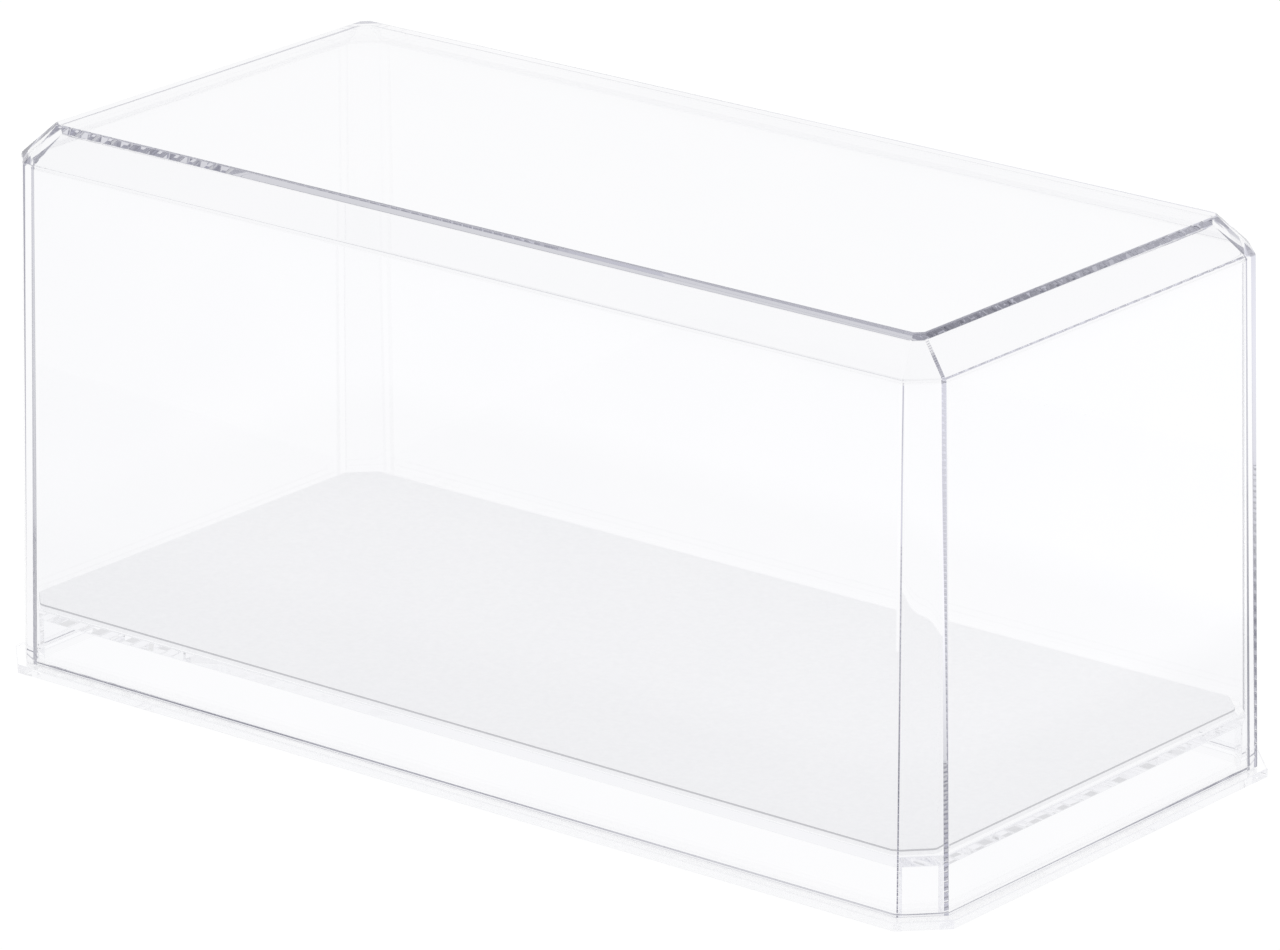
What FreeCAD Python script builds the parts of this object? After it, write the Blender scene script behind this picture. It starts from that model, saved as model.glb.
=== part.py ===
import FreeCAD, Part
import math
import os
import Sketcher

# Clear display case: a moulded base with a raised plateau, a card lying on the plateau, and
# a one-piece cover standing on the base's flange. Millimetres, +Z up, +X along the case.
# The origin is the middle of the base's underside.

DRIVING_SIZES = [
    ("cover_length", "246.1"),
    ("cover_width", "118.6"),
    ("cover_leg", "7.35"),
    ("cover_height", "116.95"),
    ("draft_angle", "1.16"),
    ("crown_bevel", "7.35"),
    ("cover_wall", "2.8"),
    ("core_leg", "6.4"),
    ("edge_radius", "0.3"),
    ("flange_overhang", "2"),
    ("flange_thickness", "1.95"),
    ("plateau_gap", "0.3"),
    ("plateau_height", "11.8"),
    ("plateau_wall", "1.8"),
    ("plateau_plate", "2.5"),
    ("hollow_corner_radius", "2.5"),
    ("card_length", "237.2"),
    ("card_width", "109"),
    ("card_leg", "5.3"),
    ("card_thickness", "1.3"),
    ("card_corner_radius", "2"),
    ("card_shift_x", "-0.2"),
    ("card_shift_y", "-1.1"),
]

# Moving every side of an outline inwards by one shortens its 45 degree corner legs by this.
LEG_PER_INSET = 2 - math.sqrt(2)

# Sizes that follow from the driving ones, written as sheet formulas.
DERIVED_SIZES = [
    ("core_length", "=cover_length - 2 * cover_wall"),
    ("core_width", "=cover_width - 2 * cover_wall"),
    ("core_height", "=cover_height - cover_wall"),
    ("core_bevel", f"=crown_bevel - {LEG_PER_INSET} * cover_wall"),
    ("flange_length", "=cover_length + 2 * flange_overhang"),
    ("flange_width", "=cover_width + 2 * flange_overhang"),
    ("flange_leg", f"=cover_leg + {LEG_PER_INSET} * flange_overhang"),
    ("plateau_length", "=core_length - 2 * plateau_gap"),
    ("plateau_width", "=core_width - 2 * plateau_gap"),
    ("plateau_leg", f"=core_leg - {LEG_PER_INSET} * plateau_gap"),
    ("hollow_length", "=plateau_length - 2 * plateau_wall"),
    ("hollow_width", "=plateau_width - 2 * plateau_wall"),
    ("hollow_leg", f"=plateau_leg - {LEG_PER_INSET} * plateau_wall"),
    ("hollow_depth", "=flange_thickness + plateau_height - plateau_plate"),
    ("card_level", "=flange_thickness + plateau_height"),
]

# Lengths closer together than this count as equal when edges are picked.
SLACK = 0.001

doc = FreeCAD.newDocument("display_case")


def fill_sheet():
    """Write the driving and the derived sizes, one row each, with an alias for each cell."""
    sheet = doc.addObject("Spreadsheet::Sheet", "sizes")
    for row, (alias, content) in enumerate(DRIVING_SIZES + DERIVED_SIZES, start=1):
        sheet.set(f"A{row}", alias)
        sheet.set(f"B{row}", content)
        sheet.setAlias(f"B{row}", alias)
    doc.recompute()
    return sheet


def origin_plane(body, role):
    """The body's own origin plane with this role."""
    return next(item for item in body.Origin.OriginFeatures if item.Role == role)


def cornered_outline(body, name, prefix, level=None):
    """Sketch a rectangle with 45 degree corners, centred on the body's origin.

    Its length, width and corner leg are the sheet's cells that start with prefix. level is
    the sheet formula for its height above the body's XY plane.
    """
    sketch = body.newObject("Sketcher::SketchObject", name)
    sketch.AttachmentSupport = [(origin_plane(body, "XY_Plane"), "")]
    sketch.MapMode = "FlatFace"
    half_x = size(prefix + "_length") / 2
    half_y = size(prefix + "_width") / 2
    leg = size(prefix + "_leg")
    corners = [
        (half_x - leg, -half_y),
        (half_x, leg - half_y),
        (half_x, half_y - leg),
        (half_x - leg, half_y),
        (leg - half_x, half_y),
        (-half_x, half_y - leg),
        (-half_x, leg - half_y),
        (leg - half_x, -half_y),
    ]
    points = [FreeCAD.Vector(x, y, 0) for x, y in corners]
    front, slope, right, back, left = 0, 1, 2, 4, 6
    for index in range(len(points)):
        sketch.addGeometry(Part.LineSegment(points[index - 1], points[index]), False)
    for index in range(len(points)):
        following = (index + 1) % len(points)
        sketch.addConstraint(Sketcher.Constraint("Coincident", index, 2, following, 1))
    x_axis, y_axis = -1, -2
    for side, mirror in ((front, y_axis), (back, y_axis), (right, x_axis), (left, x_axis)):
        sketch.addConstraint(Sketcher.Constraint("Symmetric", side, 1, side, 2, mirror))
    sketch.addConstraint(Sketcher.Constraint("Equal", front, back))
    sketch.addConstraint(Sketcher.Constraint("Equal", right, left))
    bind(sketch, "DistanceX", (-1, 1, right, 1), half_x, "east", f"sizes.{prefix}_length / 2")
    bind(sketch, "DistanceX", (left, 1, -1, 1), half_x, "west", f"sizes.{prefix}_length / 2")
    bind(sketch, "DistanceY", (-1, 1, back, 1), half_y, "north", f"sizes.{prefix}_width / 2")
    bind(sketch, "DistanceY", (front, 1, -1, 1), half_y, "south", f"sizes.{prefix}_width / 2")
    bind(sketch, "DistanceX", (slope, 1, slope, 2), leg, "leg_x", f"sizes.{prefix}_leg")
    bind(sketch, "DistanceY", (slope, 1, slope, 2), leg, "leg_y", f"sizes.{prefix}_leg")
    if level:
        sketch.setExpression("AttachmentOffset.Base.z", level)
    return sketch


def bind(sketch, kind, ends, value, name, formula):
    """Add a named dimension to the sketch and tie it to the sheet."""
    index = sketch.addConstraint(Sketcher.Constraint(kind, *ends, value))
    sketch.renameConstraint(index, name)
    sketch.setExpression(f"Constraints.{name}", formula)


def size(alias):
    """The number in the sheet's cell with this alias."""
    return float(sizes.get(alias))


def new_body(name, label):
    """An empty body with its own label."""
    body = doc.addObject("PartDesign::Body", name)
    body.Label = label
    return body


def pad(body, sketch, name, length):
    """Pad the sketch upwards."""
    feature = body.newObject("PartDesign::Pad", name)
    feature.Profile = sketch
    feature.setExpression("Length", length)
    doc.recompute()
    return feature


def draft(body, name, base, faces):
    """Lean the base feature's faces that the test picks, to narrow upwards from z = 0."""
    feature = body.newObject("PartDesign::Draft", name)
    picked = [f"Face{i}" for i, face in enumerate(base.Shape.Faces, start=1) if faces(face)]
    feature.Base = (base, picked)
    feature.NeutralPlane = (origin_plane(body, "XY_Plane"), [""])
    feature.setExpression("Angle", "sizes.draft_angle")
    doc.recompute()
    return feature


def dress(body, kind, name, base, edges, dimension, formula):
    """Add a Fillet or Chamfer to the edges of the base feature that the test picks."""
    feature = body.newObject(f"PartDesign::{kind}", name)
    picked = [f"Edge{i}" for i, edge in enumerate(base.Shape.Edges, start=1) if edges(edge)]
    feature.Base = (base, picked)
    feature.setExpression(dimension, formula)
    doc.recompute()
    return feature


def upright(item):
    """True for an edge that climbs more than it runs, or for a face that stands up."""
    if item.ShapeType == "Face":
        return abs(item.normalAt(0, 0).z) < 0.5
    box = item.BoundBox
    return box.ZLength > box.DiagonalLength / 2


def lies_at(height):
    """A test for edges that lie level at this height."""

    def test(edge):
        box = edge.BoundBox
        return abs(box.ZMin - height) < SLACK and abs(box.ZMax - height) < SLACK

    return test


def above_rim(edge):
    """True for any edge but those of the cover's rim, which stays sharp."""
    return edge.BoundBox.ZMax > SLACK


def mould_cavity():
    """The cover's outside: drafted walls with 45 degree corners and a bevelled crown."""
    body = new_body("CoverOutside", "cover_outside")
    outline = cornered_outline(body, "CoverRim", "cover")
    block = pad(body, outline, "CoverBlock", "sizes.cover_height")
    walls = draft(body, "CoverDraft", block, upright)
    crown = lies_at(size("cover_height"))
    bevelled = dress(body, "Chamfer", "CrownBevel", walls, crown, "Size", "sizes.crown_bevel")
    dress(body, "Fillet", "SoftenedCrown", bevelled, above_rim, "Radius", "sizes.edge_radius")
    return body


def mould_core():
    """The cover's inside: the same form as its outside, one wall smaller all over."""
    body = new_body("CoverInside", "cover_inside")
    outline = cornered_outline(body, "CoreFoot", "core")
    block = pad(body, outline, "CoreBlock", "sizes.core_height")
    walls = draft(body, "CoreDraft", block, upright)
    ceiling = lies_at(size("core_height"))
    dress(body, "Chamfer", "CoreBevel", walls, ceiling, "Size", "sizes.core_bevel")
    return body


def make_cover():
    """The one-piece clear cover, standing on the base's flange."""
    cover = doc.addObject("Part::Cut", "Cover")
    cover.Base = mould_cavity()
    cover.Tool = mould_core()
    cover.Label = "cover"
    cover.setExpression("Placement.Base.z", "sizes.flange_thickness")
    return cover


def plateau_side(face):
    """True for the upright faces of the plateau, which stand above the flange."""
    return upright(face) and face.BoundBox.ZMax > size("flange_thickness") + SLACK


def hollow_corner(edge):
    """True for the hollow's upright edges, from the underside to above the flange."""
    box = edge.BoundBox
    above_flange = box.ZMax > size("flange_thickness") + SLACK
    return upright(edge) and abs(box.ZMin) < SLACK and above_flange


def flange_edge(edge):
    """True for the top edges round the outside of the flange, not the plateau's foot."""
    box = edge.BoundBox
    reach_x = max(abs(box.XMin), abs(box.XMax))
    reach_y = max(abs(box.YMin), abs(box.YMax))
    past_x = reach_x > (size("plateau_length") + size("flange_length")) / 4
    past_y = reach_y > (size("plateau_width") + size("flange_width")) / 4
    return lies_at(size("flange_thickness"))(edge) and (past_x or past_y)


def cut_hollow(body, solid):
    """Cut the open hollow into the underside of the base."""
    outline = cornered_outline(body, "HollowOutline", "hollow")
    hollow = body.newObject("PartDesign::Pocket", "Hollow")
    hollow.Profile = outline
    hollow.Reversed = True
    hollow.setExpression("Length", "sizes.hollow_depth")
    doc.recompute()
    if hollow.Shape.Volume >= solid.Shape.Volume:
        raise RuntimeError("the hollow under the plateau cut nothing")
    return hollow


def make_base():
    """The clear base: a flat flange round a raised plateau that is hollow underneath."""
    body = new_body("Base", "base")
    flange_outline = cornered_outline(body, "FlangeOutline", "flange")
    pad(body, flange_outline, "Flange", "sizes.flange_thickness")
    foot = cornered_outline(body, "PlateauOutline", "plateau", "sizes.flange_thickness")
    plateau = pad(body, foot, "Plateau", "sizes.plateau_height")
    drafted = draft(body, "PlateauDraft", plateau, plateau_side)
    hollow = cut_hollow(body, drafted)
    corner_radius = "sizes.hollow_corner_radius"
    rounded = dress(body, "Fillet", "HollowCorners", hollow, hollow_corner, "Radius", corner_radius)
    edge_radius = "sizes.edge_radius"
    softened = dress(body, "Fillet", "FlangeEdge", rounded, flange_edge, "Radius", edge_radius)
    plateau_rim = lies_at(size("card_level"))
    dress(body, "Fillet", "PlateauEdge", softened, plateau_rim, "Radius", edge_radius)
    return body


def make_card():
    """The floor card, which lies loose on the plateau, a little off its middle."""
    body = new_body("Card", "floor_card")
    outline = cornered_outline(body, "CardOutline", "card")
    sheet = pad(body, outline, "CardSheet", "sizes.card_thickness")
    dress(body, "Fillet", "CardCorners", sheet, upright, "Radius", "sizes.card_corner_radius")
    body.setExpression("Placement.Base.x", "sizes.card_shift_x")
    body.setExpression("Placement.Base.y", "sizes.card_shift_y")
    body.setExpression("Placement.Base.z", "sizes.card_level")
    return body


def check_document():
    """Stop if any object failed to compute."""
    for item in doc.Objects:
        if "Invalid" in item.State or "Error" in item.State:
            raise RuntimeError(f"{item.Name} failed: {item.State}")


def export(parts):
    """Check every sub-part's shape, then write each to its own file."""
    for part in parts:
        if part.Shape.isNull() or not part.Shape.isValid():
            raise RuntimeError(f"{part.Label} has no valid shape")
    os.makedirs("parts", exist_ok=True)
    for part in parts:
        part.Shape.exportStep(f"parts/{part.Label}.step")
        box = part.Shape.BoundBox
        print(
            f"{part.Label}: {len(part.Shape.Solids)} solid, {part.Shape.Volume:.0f} mm3, "
            f"x {box.XLength:.2f} y {box.YLength:.2f} z {box.ZMin:.2f} to {box.ZMax:.2f}"
        )


sizes = fill_sheet()
sub_parts = [make_base(), make_card(), make_cover()]
doc.recompute()
check_document()
export(sub_parts)
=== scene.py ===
import math

import bmesh
import bpy
from mathutils import Matrix, Vector


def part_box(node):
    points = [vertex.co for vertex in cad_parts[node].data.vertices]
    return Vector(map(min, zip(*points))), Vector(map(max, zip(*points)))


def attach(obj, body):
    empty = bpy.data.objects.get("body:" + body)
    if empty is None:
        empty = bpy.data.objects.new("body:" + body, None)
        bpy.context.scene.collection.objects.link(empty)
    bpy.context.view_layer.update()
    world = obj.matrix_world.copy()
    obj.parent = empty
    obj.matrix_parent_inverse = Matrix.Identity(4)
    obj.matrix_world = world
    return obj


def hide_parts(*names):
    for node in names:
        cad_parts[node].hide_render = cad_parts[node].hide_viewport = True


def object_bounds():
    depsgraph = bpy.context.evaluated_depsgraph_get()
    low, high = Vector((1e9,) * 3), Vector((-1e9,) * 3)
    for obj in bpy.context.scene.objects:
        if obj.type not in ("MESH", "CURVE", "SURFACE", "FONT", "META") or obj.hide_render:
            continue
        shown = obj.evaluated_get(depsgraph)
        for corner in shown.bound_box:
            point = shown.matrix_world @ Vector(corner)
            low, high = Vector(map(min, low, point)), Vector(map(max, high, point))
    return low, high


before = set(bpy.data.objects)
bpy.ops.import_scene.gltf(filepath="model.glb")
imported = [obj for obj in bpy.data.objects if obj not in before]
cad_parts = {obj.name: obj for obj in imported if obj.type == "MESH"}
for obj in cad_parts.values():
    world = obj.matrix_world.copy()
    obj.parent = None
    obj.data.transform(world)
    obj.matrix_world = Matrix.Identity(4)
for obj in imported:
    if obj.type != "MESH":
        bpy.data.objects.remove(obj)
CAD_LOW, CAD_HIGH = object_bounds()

# Sizes in metres. A clear case: cover standing on a base, and a card lying on the base.
# A leg is how far a 45 degree cut corner reaches along each of the two sides it joins.
COVER_LEG = 0.00735
COVER_WALL = 0.0028
CORE_LEG = 0.0064
DRAFT = math.tan(math.radians(1.16))
CROWN_BEVEL = 0.00735
FLANGE_THICKNESS = 0.00195
PLATEAU_GAP = 0.0003
PLATEAU_WALL = 0.0018
PLATEAU_PLATE = 0.0025
CARD_LEG = 0.0053
CARD_CORNER_RADIUS = 0.002
CARD_ARC_STEPS = 6

# Air between pieces that stand or lie on each other.
RESTING_GAP = 0.00005

# Moving every side of an outline inwards by one shortens its legs by this.
LEG_PER_INSET = 2 - math.sqrt(2)

# The inner faces of the cover's cut corners bulge towards the corner by this much.
# A higher power makes the bulge flatter in the middle and steeper at its ends.
CORNER_BOW = 0.00027
CORNER_BOW_POWER = 3.3
CORNER_STEPS = 12

# Where two faces turn by less than the first angle, the shading runs smoothly from one to
# the other. Between the angles their edge stays sharp, and past the second it is rounded.
SHARP_FROM = math.radians(22)
SOFTENED_FROM = math.radians(38)

# Widths of the rounded edges. An edge that climbs by less than LEVEL_CLIMB of its length
# is level, and any other edge gets only UPRIGHT_SHARE of the width.
COVER_EDGE = 0.0003
BASE_EDGE = 0.0002
CARD_EDGE = 0.0001
LEVEL_CLIMB = 0.5
UPRIGHT_SHARE = 0.35
EDGE_SEGMENTS = 3

# Clear plastic: its tint at each surface, the slight loss of tint in its clouds, and the
# colour and density that darken light on a long way through it.
PLASTIC_IOR = 1.55
COVER_TINT = (0.973, 0.973, 0.979)
COVER_DENSITY = 3.5
BASE_TINT = (0.994, 0.994, 0.997)
BASE_DENSITY = 0.4
CLOUD_LOSS = (0.006, 0.005, 0.003)
CLOUD_SCALE = 30
CLOUD_DETAIL = 4
CLOUD_FROM = 0.35
CLOUD_TO = 0.65
DEPTH_COLOUR = (0.09, 0.09, 0.22, 1)

# A faint glow of the plastic stands in for the light that it scatters inside itself.
BASE_GLOW = 0.0014
EDGE_GLOW = 0.0112

# Share of the cover's height against share of its glow.
EDGE_GLOW_STOPS = [(0.0, 0.0), (0.22, 0.0), (0.30, 1.0), (0.90, 0.62), (0.94, 0.05)]

# The glow at the cover's front left and back right corners, as shares of EDGE_GLOW.
FRONT_LEFT_GLOW = 0.4
BACK_RIGHT_GLOW = 1.6

# Matt card: its colour and roughness across the fibres, and the fibres' size and relief.
CARD_COLOUR_STOPS = [(0.3, (0.912, 0.914, 0.922)), (0.7, (0.945, 0.946, 0.952))]
CARD_ROUGHNESS_STOPS = [(0.3, 0.62), (0.7, 0.75)]
CARD_SHINE = 0.25
FIBRE_SCALE = 900
FIBRE_DETAIL = 6
FIBRE_STRENGTH = 0.15
FIBRE_DEPTH = 0.0001

# Share of the card's height against how dark its side is made: a dark line under the top face.
CARD_RIM_STOPS = [
    (0.0, (1.0, 1.0, 1.0)),
    (0.70, (0.58, 0.58, 0.60)),
    (0.985, (1.0, 1.0, 1.0)),
]

# The camera stands at its azimuth from the case's front, towards its right side. Its
# distance, aim and clipping are in metres, and its lens and sensor in millimetres.
CAMERA_AZIMUTH = math.radians(39.283)
CAMERA_ELEVATION = math.radians(19.058)
CAMERA_ROLL = math.radians(-0.281)
CAMERA_DISTANCE = 1.8004
CAMERA_AIM = Vector((-0.00796, 0.0137, 0.04723))
CAMERA_NEAR = 0.1
CAMERA_FAR = 100
CAMERA_LENS = 243.36
SENSOR_WIDTH = 36.0

# A round floor, painted so that nearly all the light seen from it is its own.
FLOOR_RADIUS = 12.0
FLOOR_SIDES = 64
FLOOR_DROP = 0.0002
FLOOR_GREY = 0.1
FLOOR_GLOW = 0.93

# Brightness of the room behind the camera, and how squarely a ray has to face the backdrop
# (the cosine of its angle to it) to see full white.
ROOM_BRIGHTNESS = 0.55
BACKDROP_FROM = 0.9

# Light is followed for this many bounces, because it can run a long way inside a wall.
BOUNCES = 512


# ---------------------------------------------------------------- outlines

def outline(half_x, half_y, leg, z):
    """Eight points of a rectangle with 45 degree corners, seen from above, anticlockwise."""
    return [
        Vector((half_x - leg, -half_y, z)),
        Vector((half_x, leg - half_y, z)),
        Vector((half_x, half_y - leg, z)),
        Vector((half_x - leg, half_y, z)),
        Vector((leg - half_x, half_y, z)),
        Vector((-half_x, half_y - leg, z)),
        Vector((-half_x, leg - half_y, z)),
        Vector((leg - half_x, -half_y, z)),
    ]


def inset_outline(half_x, half_y, leg, inset, z):
    """The outline moved inwards by inset all round."""
    return outline(half_x - inset, half_y - inset, leg - LEG_PER_INSET * inset, z)


def bowed_outline(points):
    """The outline with each cut corner replaced by a shallow curve that bulges outwards."""
    bowed = []
    for corner in range(0, len(points), 2):
        start, end = points[corner], points[corner + 1]
        along = end - start
        outward = Vector((along.y, -along.x, 0)).normalized()
        height = CORNER_BOW * along.length / (CORE_LEG * math.sqrt(2))
        for step in range(CORNER_STEPS + 1):
            place = 2 * step / CORNER_STEPS - 1
            bulge = height * (1 - abs(place) ** CORNER_BOW_POWER)
            bowed.append(start.lerp(end, step / CORNER_STEPS) + outward * bulge)
    return bowed


def rounded_outline(points, radius, steps):
    """The outline with every corner rounded by an arc of this radius."""
    rounded = []
    for index, corner in enumerate(points):
        before = (points[index - 1] - corner).normalized()
        after = (points[(index + 1) % len(points)] - corner).normalized()
        half_angle = before.angle(after) / 2
        setback = radius / math.tan(half_angle)
        middle = (before + after).normalized() * (radius / math.sin(half_angle))
        centre = corner + middle
        start = corner + before * setback - centre
        end = corner + after * setback - centre
        for step in range(steps + 1):
            share = step / steps
            arm = start.lerp(end, share).normalized() * radius
            rounded.append(centre + arm)
    return rounded


# ---------------------------------------------------------------- shells

def add_ring(mesh, points):
    """Add the points as vertices of the mesh."""
    return [mesh.verts.new(point) for point in points]


def join_rings(mesh, rings):
    """Fill the band between each ring and the next. All have the same number of points."""
    for lower, upper in zip(rings, rings[1:]):
        for i in range(len(lower)):
            j = (i + 1) % len(lower)
            mesh.faces.new((lower[i], lower[j], upper[j], upper[i]))


def join_rim(mesh, outer, inner):
    """Fill the rim between an eight-point ring and a bowed ring inside it."""
    per_corner = CORNER_STEPS + 1
    for corner in range(4):
        first = corner * per_corner
        bow = inner[first:first + per_corner]
        mesh.faces.new([outer[2 * corner + 1], outer[2 * corner]] + bow)
        after = (2 * corner + 2) % len(outer)
        next_bow = inner[(first + per_corner) % len(inner)]
        mesh.faces.new((outer[after], outer[2 * corner + 1], bow[-1], next_bow))


def mark_edges(mesh):
    """Mark the edges that stay sharp, and how much of the edge width each of the others gets."""
    weight = mesh.edges.layers.float.new("bevel_weight_edge")
    for edge in mesh.edges:
        turn = edge.calc_face_angle()
        edge.smooth = not SHARP_FROM < turn < SOFTENED_FROM
        if turn >= SOFTENED_FROM:
            run = edge.verts[1].co - edge.verts[0].co
            level = abs(run.z) < LEVEL_CLIMB * run.length
            edge[weight] = 1.0 if level else UPRIGHT_SHARE


def finished_piece(name, mesh, edge_width, material):
    """Make the object, with its edges softened as a mould or a cut leaves them."""
    bmesh.ops.recalc_face_normals(mesh, faces=mesh.faces)
    mark_edges(mesh)
    data = bpy.data.meshes.new(name)
    mesh.to_mesh(data)
    mesh.free()
    data.shade_smooth()
    data.materials.append(material)
    piece = bpy.data.objects.new(name, data)
    bpy.context.scene.collection.objects.link(piece)
    bevel = piece.modifiers.new("softened_edges", "BEVEL")
    bevel.width = edge_width
    bevel.segments = EDGE_SEGMENTS
    bevel.limit_method = "WEIGHT"
    bevel.use_clamp_overlap = False
    bevel.harden_normals = True
    return piece


# ---------------------------------------------------------------- pieces

def cover_outside(low, high):
    """Outlines of the cover's outside, at its rim, the top of its walls and its crown."""
    height = high.z - low.z
    shoulder = height - CROWN_BEVEL
    levels = [
        (0, low.z + RESTING_GAP),
        (shoulder * DRAFT, low.z + shoulder),
        (height * DRAFT + CROWN_BEVEL, high.z),
    ]
    return [inset_outline(high.x, high.y, COVER_LEG, inset, z) for inset, z in levels]


def cover_inside(low, high):
    """Outlines of the cover's inside, at its rim, the top of its walls and its ceiling."""
    depth = high.z - low.z - COVER_WALL
    bevel = CROWN_BEVEL - LEG_PER_INSET * COVER_WALL
    shoulder = depth - bevel
    levels = [
        (0, low.z + RESTING_GAP),
        (shoulder * DRAFT, low.z + shoulder),
        (depth * DRAFT + bevel, high.z - COVER_WALL),
    ]
    sizes = (high.x - COVER_WALL, high.y - COVER_WALL, CORE_LEG)
    return [bowed_outline(inset_outline(*sizes, inset, z)) for inset, z in levels]


def make_cover(material):
    """The clear cover: drafted walls, cut corners and a bevelled crown, open below."""
    low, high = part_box("cover")
    mesh = bmesh.new()
    outside = [add_ring(mesh, points) for points in cover_outside(low, high)]
    inside = [add_ring(mesh, points) for points in cover_inside(low, high)]
    for rings in (outside, inside):
        join_rings(mesh, rings)
        mesh.faces.new(rings[-1])
    join_rim(mesh, outside[0], inside[0])
    return finished_piece("clear_cover", mesh, COVER_EDGE, material)


def make_base(material):
    """The clear base: a flat flange and a raised plateau that is hollow underneath."""
    low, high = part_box("base")
    cover_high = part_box("cover")[1]
    overhang = high.x - cover_high.x
    flange = (high.x, high.y, COVER_LEG + LEG_PER_INSET * overhang)
    to_plateau = COVER_WALL + PLATEAU_GAP
    plateau = (
        cover_high.x - to_plateau,
        cover_high.y - to_plateau,
        CORE_LEG - LEG_PER_INSET * PLATEAU_GAP,
    )
    plateau_lean = (high.z - FLANGE_THICKNESS) * DRAFT
    levels = [
        (plateau, PLATEAU_WALL, high.z - PLATEAU_PLATE),
        (plateau, PLATEAU_WALL, low.z),
        (flange, 0, low.z),
        (flange, 0, FLANGE_THICKNESS),
        (plateau, 0, FLANGE_THICKNESS),
        (plateau, plateau_lean, high.z),
    ]
    mesh = bmesh.new()
    rings = [add_ring(mesh, inset_outline(*sizes, inset, z)) for sizes, inset, z in levels]
    join_rings(mesh, rings)
    mesh.faces.new(rings[0])
    mesh.faces.new(rings[-1])
    return finished_piece("clear_base", mesh, BASE_EDGE, material)


def make_card(material):
    """The floor card, a thin sheet with rounded corners, a little off the middle."""
    low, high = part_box("floor_card")
    half = (high - low) / 2
    middle = Vector((low.x + high.x, low.y + high.y, 0)) / 2
    mesh = bmesh.new()
    rings = []
    for z in (low.z + RESTING_GAP, high.z):
        points = [middle + point for point in outline(half.x, half.y, CARD_LEG, z)]
        rings.append(add_ring(mesh, rounded_outline(points, CARD_CORNER_RADIUS, CARD_ARC_STEPS)))
    join_rings(mesh, rings)
    mesh.faces.new(rings[0])
    mesh.faces.new(rings[-1])
    return finished_piece("pale_floor_card", mesh, CARD_EDGE, material)


# ---------------------------------------------------------------- material parts

def new_material(name):
    """A new node material. Returns it with its tree and its shader node."""
    material = bpy.data.materials.new(name)
    material.use_nodes = True
    tree = material.node_tree
    return material, tree, tree.nodes["Principled BSDF"]


def add_noise(tree, scale, detail):
    """A noise texture in object coordinates, so that it stays with the piece."""
    place = tree.nodes.new("ShaderNodeTexCoord")
    noise = tree.nodes.new("ShaderNodeTexNoise")
    noise.inputs["Scale"].default_value = scale
    noise.inputs["Detail"].default_value = detail
    tree.links.new(place.outputs["Object"], noise.inputs["Vector"])
    return noise


def add_ramp(tree, source, stops):
    """A colour ramp fed by source. Each stop is its place and its colour."""
    ramp = tree.nodes.new("ShaderNodeValToRGB")
    elements = ramp.color_ramp.elements
    while len(elements) < len(stops):
        elements.new(0.5)
    for element, (place, colour) in zip(elements, stops):
        element.position = place
        element.color = (*colour, 1)
    tree.links.new(source, ramp.inputs["Fac"])
    return ramp


def grey_stops(stops):
    """The stops of a ramp of plain numbers, as greys."""
    return [(place, (value, value, value)) for place, value in stops]


def add_height_ramp(tree, low, high, stops):
    """A ramp over the piece's own height, from low to high."""
    place = tree.nodes.new("ShaderNodeTexCoord")
    split = tree.nodes.new("ShaderNodeSeparateXYZ")
    tree.links.new(place.outputs["Object"], split.inputs["Vector"])
    height = tree.nodes.new("ShaderNodeMapRange")
    height.inputs["From Min"].default_value = low
    height.inputs["From Max"].default_value = high
    tree.links.new(split.outputs["Z"], height.inputs["Value"])
    return add_ramp(tree, height.outputs["Result"], stops)


def add_diagonal_glow(tree, half_x, half_y):
    """The glow's strength, growing from the front left corner to the back right one."""
    place = tree.nodes.new("ShaderNodeTexCoord")
    diagonal = tree.nodes.new("ShaderNodeVectorMath")
    diagonal.operation = "DOT_PRODUCT"
    diagonal.inputs[1].default_value = (0.5 / half_x, 0.5 / half_y, 0)
    tree.links.new(place.outputs["Object"], diagonal.inputs[0])
    strength = tree.nodes.new("ShaderNodeMapRange")
    strength.inputs["From Min"].default_value = -1.0
    strength.inputs["From Max"].default_value = 1.0
    strength.inputs["To Min"].default_value = EDGE_GLOW * FRONT_LEFT_GLOW
    strength.inputs["To Max"].default_value = EDGE_GLOW * BACK_RIGHT_GLOW
    tree.links.new(diagonal.outputs["Value"], strength.inputs["Value"])
    return strength


# ---------------------------------------------------------------- materials

def clear_plastic(name, tint, density, glow):
    """Polished clear moulded plastic, with faint clouds in its tint and an even faint glow."""
    material, tree, shader = new_material(name)
    shader.inputs["Transmission Weight"].default_value = 1.0
    shader.inputs["IOR"].default_value = PLASTIC_IOR
    shader.inputs["Roughness"].default_value = 0.0
    shader.inputs["Emission Strength"].default_value = glow
    clouded = tuple(full - loss for full, loss in zip(tint, CLOUD_LOSS))
    cloud = add_noise(tree, CLOUD_SCALE, CLOUD_DETAIL)
    colour = add_ramp(tree, cloud.outputs["Fac"], [(CLOUD_FROM, clouded), (CLOUD_TO, tint)])
    tree.links.new(colour.outputs["Color"], shader.inputs["Base Color"])
    absorption = tree.nodes.new("ShaderNodeVolumeAbsorption")
    absorption.inputs["Color"].default_value = DEPTH_COLOUR
    absorption.inputs["Density"].default_value = density
    output = tree.nodes["Material Output"]
    tree.links.new(absorption.outputs["Volume"], output.inputs["Volume"])
    return material


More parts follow.
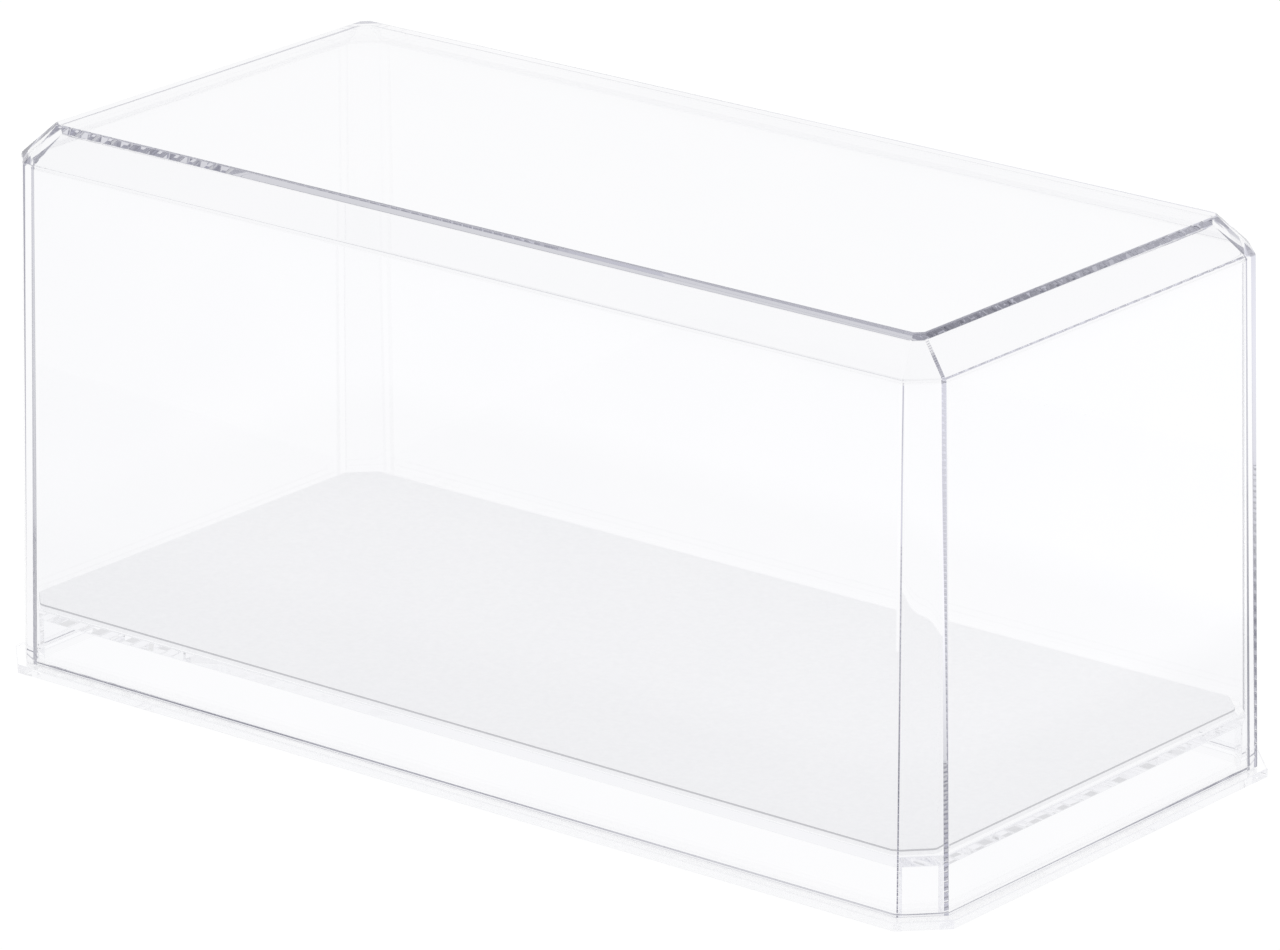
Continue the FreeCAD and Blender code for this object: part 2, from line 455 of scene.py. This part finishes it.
def cover_plastic():
    """The cover's clear plastic. Its walls glow above their foot, and its crown hardly does."""
    material = clear_plastic("cover_plastic", COVER_TINT, COVER_DENSITY, 0.0)
    tree = material.node_tree
    low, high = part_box("cover")
    by_height = add_height_ramp(tree, low.z, high.z, grey_stops(EDGE_GLOW_STOPS))
    by_corner = add_diagonal_glow(tree, high.x, high.y)
    glow = tree.nodes.new("ShaderNodeMath")
    glow.operation = "MULTIPLY"
    tree.links.new(by_height.outputs["Color"], glow.inputs[0])
    tree.links.new(by_corner.outputs["Result"], glow.inputs[1])
    shader = tree.nodes["Principled BSDF"]
    tree.links.new(glow.outputs["Value"], shader.inputs["Emission Strength"])
    material.cycles.emission_sampling = "NONE"
    return material


def base_plastic():
    """The base's clear plastic, which is clearer than the cover's."""
    return clear_plastic("base_plastic", BASE_TINT, BASE_DENSITY, BASE_GLOW)


def card_stock():
    """Matt pale grey-white card with a fine tooth and a darker line round its top edge."""
    material, tree, shader = new_material("card_stock")
    shader.inputs["Specular IOR Level"].default_value = CARD_SHINE
    fibre = add_noise(tree, FIBRE_SCALE, FIBRE_DETAIL)
    colour = add_ramp(tree, fibre.outputs["Fac"], CARD_COLOUR_STOPS)
    low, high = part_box("floor_card")
    rim = add_height_ramp(tree, low.z, high.z, CARD_RIM_STOPS)
    rim.color_ramp.interpolation = "CONSTANT"
    tint = tree.nodes.new("ShaderNodeMix")
    tint.data_type = "RGBA"
    tint.blend_type = "MULTIPLY"
    tint.inputs["Factor"].default_value = 1.0
    tree.links.new(colour.outputs["Color"], tint.inputs["A"])
    tree.links.new(rim.outputs["Color"], tint.inputs["B"])
    tree.links.new(tint.outputs["Result"], shader.inputs["Base Color"])
    roughness = add_ramp(tree, fibre.outputs["Fac"], grey_stops(CARD_ROUGHNESS_STOPS))
    tree.links.new(roughness.outputs["Color"], shader.inputs["Roughness"])
    bump = tree.nodes.new("ShaderNodeBump")
    bump.inputs["Strength"].default_value = FIBRE_STRENGTH
    bump.inputs["Distance"].default_value = FIBRE_DEPTH
    tree.links.new(fibre.outputs["Fac"], bump.inputs["Height"])
    tree.links.new(bump.outputs["Normal"], shader.inputs["Normal"])
    return material


def floor_paint():
    """A plain floor that is lit from below like a light table, so that it stays white."""
    material, tree, shader = new_material("pale_floor")
    shader.inputs["Base Color"].default_value = (FLOOR_GREY, FLOOR_GREY, FLOOR_GREY, 1)
    shader.inputs["Roughness"].default_value = 1.0
    shader.inputs["Specular IOR Level"].default_value = 0.0
    shader.inputs["Emission Color"].default_value = (1, 1, 1, 1)
    shader.inputs["Emission Strength"].default_value = FLOOR_GLOW
    return material


# ---------------------------------------------------------------- studio

def make_floor():
    """A large flat round floor just below the case's underside."""
    mesh = bmesh.new()
    bmesh.ops.create_circle(mesh, cap_ends=True, segments=FLOOR_SIDES, radius=FLOOR_RADIUS)
    data = bpy.data.meshes.new("floor")
    mesh.to_mesh(data)
    mesh.free()
    data.materials.append(floor_paint())
    floor = bpy.data.objects.new("floor", data)
    floor.location.z = CAD_LOW.z - FLOOR_DROP
    bpy.context.scene.collection.objects.link(floor)


def make_camera():
    """A long lens looking down a little on the case's front and right sides."""
    back = Vector((
        math.sin(CAMERA_AZIMUTH) * math.cos(CAMERA_ELEVATION),
        -math.cos(CAMERA_AZIMUTH) * math.cos(CAMERA_ELEVATION),
        math.sin(CAMERA_ELEVATION),
    ))
    level = Vector((0, 0, 1)).cross(back).normalized()
    right = Matrix.Rotation(CAMERA_ROLL, 3, back) @ level
    up = back.cross(right)
    data = bpy.data.cameras.new("camera")
    data.lens = CAMERA_LENS
    data.sensor_width = SENSOR_WIDTH
    data.clip_start = CAMERA_NEAR
    data.clip_end = CAMERA_FAR
    camera = bpy.data.objects.new("camera", data)
    camera.matrix_world = Matrix((right, up, back)).transposed().to_4x4()
    camera.location = CAMERA_AIM + back * CAMERA_DISTANCE
    bpy.context.scene.collection.objects.link(camera)
    bpy.context.scene.camera = camera


def add_backdrop(tree):
    """Brightness by direction: full white behind the case, darker behind the camera."""
    place = tree.nodes.new("ShaderNodeTexCoord")
    facing = tree.nodes.new("ShaderNodeVectorMath")
    facing.operation = "DOT_PRODUCT"
    facing.inputs[1].default_value = (-math.sin(CAMERA_AZIMUTH), math.cos(CAMERA_AZIMUTH), 0)
    tree.links.new(place.outputs["Generated"], facing.inputs[0])
    seen = tree.nodes.new("ShaderNodeMapRange")
    seen.inputs["From Min"].default_value = -1.0
    seen.inputs["From Max"].default_value = BACKDROP_FROM
    seen.inputs["To Min"].default_value = ROOM_BRIGHTNESS
    seen.inputs["To Max"].default_value = 1.0
    tree.links.new(facing.outputs["Value"], seen.inputs["Value"])
    return seen


def make_world():
    """A white studio, brightest behind the case. Matt pieces are lit evenly from all round."""
    world = bpy.data.worlds.new("studio")
    bpy.context.scene.world = world
    world.use_nodes = True
    tree = world.node_tree
    seen = add_backdrop(tree)
    path = tree.nodes.new("ShaderNodeLightPath")
    brightness = tree.nodes.new("ShaderNodeMix")
    brightness.inputs["B"].default_value = 1.0
    tree.links.new(path.outputs["Diffuse Depth"], brightness.inputs["Factor"])
    tree.links.new(seen.outputs["Result"], brightness.inputs["A"])
    background = tree.nodes["Background"]
    background.inputs["Color"].default_value = (1, 1, 1, 1)
    tree.links.new(brightness.outputs["Result"], background.inputs["Strength"])


def set_up_scene():
    """Plain colour handling, and enough light bounces to see through every clear wall."""
    scene = bpy.context.scene
    scene.view_settings.view_transform = "Standard"
    scene.cycles.max_bounces = BOUNCES
    scene.cycles.transmission_bounces = BOUNCES
    scene.cycles.glossy_bounces = BOUNCES
    scene.cycles.min_light_bounces = BOUNCES
    scene.cycles.blur_glossy = 0


def main():
    """Build the pieces, put each under its body in place of the hidden CAD part, and set the
    stage.
    """
    made = [
        (make_cover(cover_plastic()), "cover", "clear_cover"),
        (make_base(base_plastic()), "base", "clear_base"),
        (make_card(card_stock()), "floor_card", "card"),
    ]
    for piece, node, slot in made:
        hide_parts(node)
        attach(piece, node)
    make_floor()
    make_world()
    make_camera()
    set_up_scene()


main()
